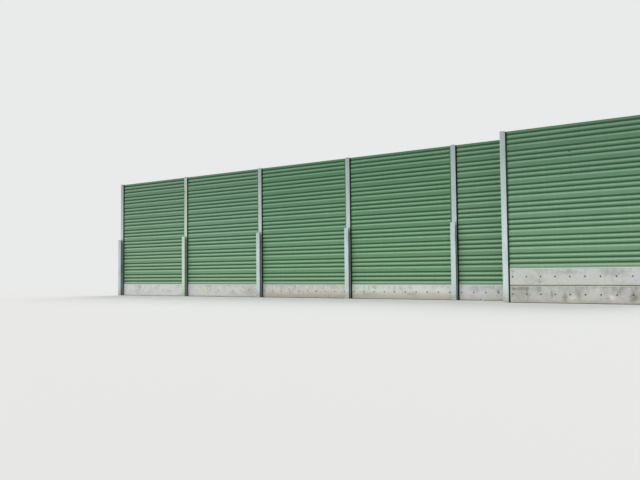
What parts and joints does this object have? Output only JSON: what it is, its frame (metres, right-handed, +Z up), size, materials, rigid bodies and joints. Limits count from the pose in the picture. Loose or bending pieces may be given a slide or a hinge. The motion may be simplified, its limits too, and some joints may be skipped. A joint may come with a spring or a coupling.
{
  "type": "noise barrier section",
  "caption": "Noise barrier of steel H-posts holding ribbed green cassettes on concrete plinths, in two overlapping rows with a walkway between them.",
  "frame": {"origin": "middle of the foot of rear_post_5, on the ground, where the rear row's posts stand", "axes": "+X along the rows to the right as seen from the front, +Y from the front row to the rear row, +Z up"},
  "size_m": [22.16, 1.26, 5.03],
  "materials": {
    "galvanised_steel": "hot-dip galvanised, weathered matt grey",
    "green_coated_aluminium": "powder-coated reseda green, chalky satin",
    "precast_concrete": "fair-faced precast concrete, soiled at the foot",
    "seal_rubber": "matt black EPDM"
  },
  "bodies": {
    "root": {"rear_post_1": "galvanised_steel", "rear_post_2": "galvanised_steel", "rear_post_3": "galvanised_steel", "rear_post_4": "galvanised_steel", "rear_post_5": "galvanised_steel", "rear_post_6": "galvanised_steel", "front_post_1": "galvanised_steel", "front_post_2": "galvanised_steel", "rear_stiffener_1": "galvanised_steel", "rear_stiffener_2": "galvanised_steel", "rear_stiffener_3": "galvanised_steel", "rear_stiffener_4": "galvanised_steel", "rear_stiffener_5": "galvanised_steel", "rear_stiffener_6": "galvanised_steel", "rear_plinth_1": "precast_concrete", "rear_plinth_2": "precast_concrete", "rear_plinth_3": "precast_concrete", "rear_plinth_4": "precast_concrete", "rear_plinth_5": "precast_concrete", "front_plinth_lower": "precast_concrete", "front_plinth_upper": "precast_concrete", "rear_panel_1": "green_coated_aluminium", "rear_panel_2": "green_coated_aluminium", "rear_panel_3": "green_coated_aluminium", "rear_panel_4": "green_coated_aluminium", "rear_panel_5": "green_coated_aluminium", "front_panel": "green_coated_aluminium", "rear_seals_1": "seal_rubber", "rear_seals_2": "seal_rubber", "rear_seals_3": "seal_rubber", "rear_seals_4": "seal_rubber", "rear_seals_5": "seal_rubber", "front_seals": "seal_rubber"}
  },
  "joints": []
}
